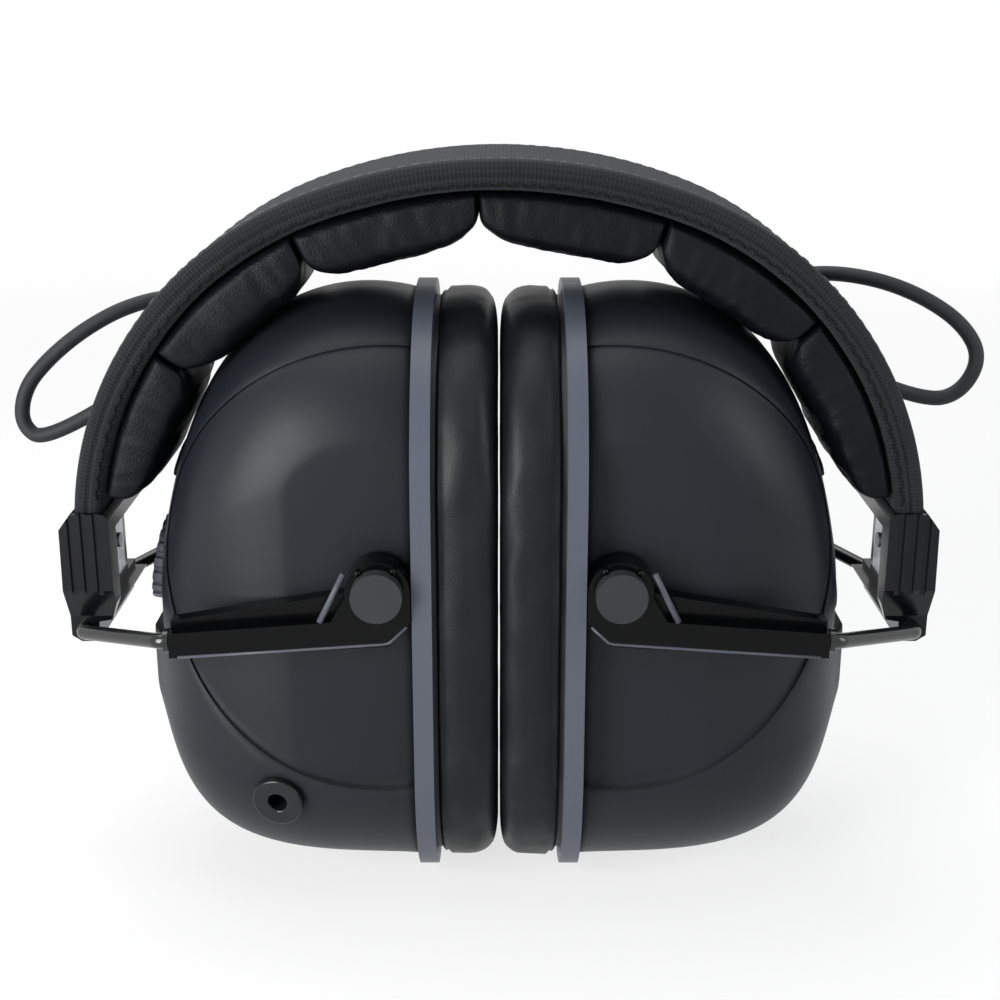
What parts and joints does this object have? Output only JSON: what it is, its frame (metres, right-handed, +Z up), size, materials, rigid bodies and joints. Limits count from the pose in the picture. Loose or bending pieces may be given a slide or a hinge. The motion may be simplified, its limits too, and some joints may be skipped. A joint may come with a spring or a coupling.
{
  "type": "hearing protection earmuffs",
  "caption": "Folding electronic earmuffs: padded sprung headband, two oval cups on wire-hung swivel arms, soft ear cushions, side cables, folded with cups inside the band.",
  "frame": {"origin": "on the floor under the folded earmuffs, midway between the two cups and midway front to back", "axes": "+Z up along the headband's rise, +X towards the right-hand cup, -Y towards the front with the audio socket"},
  "size_m": [0.1938, 0.0802, 0.14],
  "materials": {
    "shell_plastic": "satin moulded black",
    "ring_plastic": "satin moulded dark grey",
    "arm_plastic": "matte moulded black",
    "block_plastic": "satin moulded black",
    "inner_plastic": "matte",
    "cover_fabric": "woven charcoal webbing",
    "pad_leather": "soft black leatherette",
    "cushion_leather": "smooth black leatherette",
    "open_foam": "open-cell foam",
    "spring_steel": "spring steel",
    "wire_steel": "polished wire",
    "pin_plastic": "glossy black",
    "rivet_steel": "dull rivet",
    "cable_rubber": "matte black jacket",
    "rubber": "matte",
    "board": "green laminate",
    "metal_part": "nickel plated",
    "socket_plastic": "glossy"
  },
  "bodies": {
    "headband": {"crossover_lead": "cable_rubber", "headband_cover": "cover_fabric", "headband_spring_strip": "spring_steel", "left_band_grommet": "rubber", "left_block_rivets": "rivet_steel", "left_cable": "cable_rubber", "left_crown_pad": "pad_leather", "left_end_block": "block_plastic", "left_lower_pad": "pad_leather", "left_upper_pad": "pad_leather", "right_band_grommet": "rubber", "right_block_rivets": "rivet_steel", "right_cable": "cable_rubber", "right_crown_pad": "pad_leather", "right_end_block": "block_plastic", "right_lower_pad": "pad_leather", "right_upper_pad": "pad_leather"},
    "left_bail": {"left_wire_bail": "wire_steel", "left_wire_collars": "metal_part"},
    "right_bail": {"right_wire_bail": "wire_steel", "right_wire_collars": "metal_part"},
    "left_arms": {"left_cable_relief": "rubber", "left_front_arm": "arm_plastic", "left_rear_arm": "arm_plastic"},
    "right_arms": {"right_cable_relief": "rubber", "right_front_arm": "arm_plastic", "right_rear_arm": "arm_plastic"},
    "left_cup": {"audio_socket": "socket_plastic", "audio_socket_bezel": "socket_plastic", "circuit_board": "board", "left_cup_ring": "ring_plastic", "left_cup_shell": "shell_plastic", "left_cushion_carrier": "inner_plastic", "left_damper_foam": "open_foam", "left_ear_cushion": "cushion_leather", "left_ear_foam": "open_foam", "left_microphone": "metal_part", "left_pivot_pins": "pin_plastic", "left_speaker": "metal_part", "left_speaker_baffle": "inner_plastic", "left_wind_screen": "open_foam", "volume_control": "metal_part"},
    "right_cup": {"battery_cell": "metal_part", "battery_spring": "metal_part", "battery_tube": "inner_plastic", "right_cup_ring": "ring_plastic", "right_cup_shell": "shell_plastic", "right_cushion_carrier": "inner_plastic", "right_damper_foam": "open_foam", "right_ear_cushion": "cushion_leather", "right_ear_foam": "open_foam", "right_microphone": "metal_part", "right_pivot_pins": "pin_plastic", "right_speaker": "metal_part", "right_speaker_baffle": "inner_plastic", "right_wind_screen": "open_foam"},
    "volume_control_knob": {"volume_knob": "rubber", "volume_shaft": "metal_part"},
    "battery_cover": {"battery_cap": "shell_plastic"}
  },
  "joints": [
    {"name": "left_fold", "type": "hinge", "parent": "headband", "child": "left_bail", "pos_m": [-0.0788, 0, 0.0522], "axis": [0, 1, 0], "range_deg": [0, 100]},
    {"name": "left_height", "type": "slide", "parent": "left_bail", "child": "left_arms", "axis": [0.9982, 0, 0.0593], "range_m": [0, 0.014]},
    {"name": "left_swivel", "type": "hinge", "parent": "left_arms", "child": "left_cup", "pos_m": [-0.0212, 0, 0.068], "axis": [0, -1, 0], "range_deg": [0, 100]},
    {"name": "right_fold", "type": "hinge", "parent": "headband", "child": "right_bail", "pos_m": [0.0788, 0, 0.0522], "axis": [0, -1, 0], "range_deg": [0, 100]},
    {"name": "right_height", "type": "slide", "parent": "right_bail", "child": "right_arms", "axis": [-0.9982, 0, 0.0593], "range_m": [0, 0.014]},
    {"name": "right_swivel", "type": "hinge", "parent": "right_arms", "child": "right_cup", "pos_m": [0.0212, 0, 0.068], "axis": [0, 1, 0], "range_deg": [0, 100]},
    {"name": "volume_turn", "type": "hinge", "parent": "left_cup", "child": "volume_control_knob", "pos_m": [-0.0628, 0, 0.0613], "axis": [-0.9848, 0, 0.1736], "range_deg": [0, 270]},
    {"name": "battery_cap_turn", "type": "hinge", "parent": "right_cup", "child": "battery_cover", "pos_m": [0.0628, 0, 0.0613], "axis": [0.9848, 0, 0.1736], "range_deg": [0, 60]}
  ],
  "couplings": [
    {"joint": "left_height", "follows": "left_fold", "m_per_rad": 0.008},
    {"joint": "left_swivel", "follows": "left_fold", "ratio": 1},
    {"joint": "right_height", "follows": "right_fold", "m_per_rad": 0.008},
    {"joint": "right_swivel", "follows": "right_fold", "ratio": 1}
  ]
}
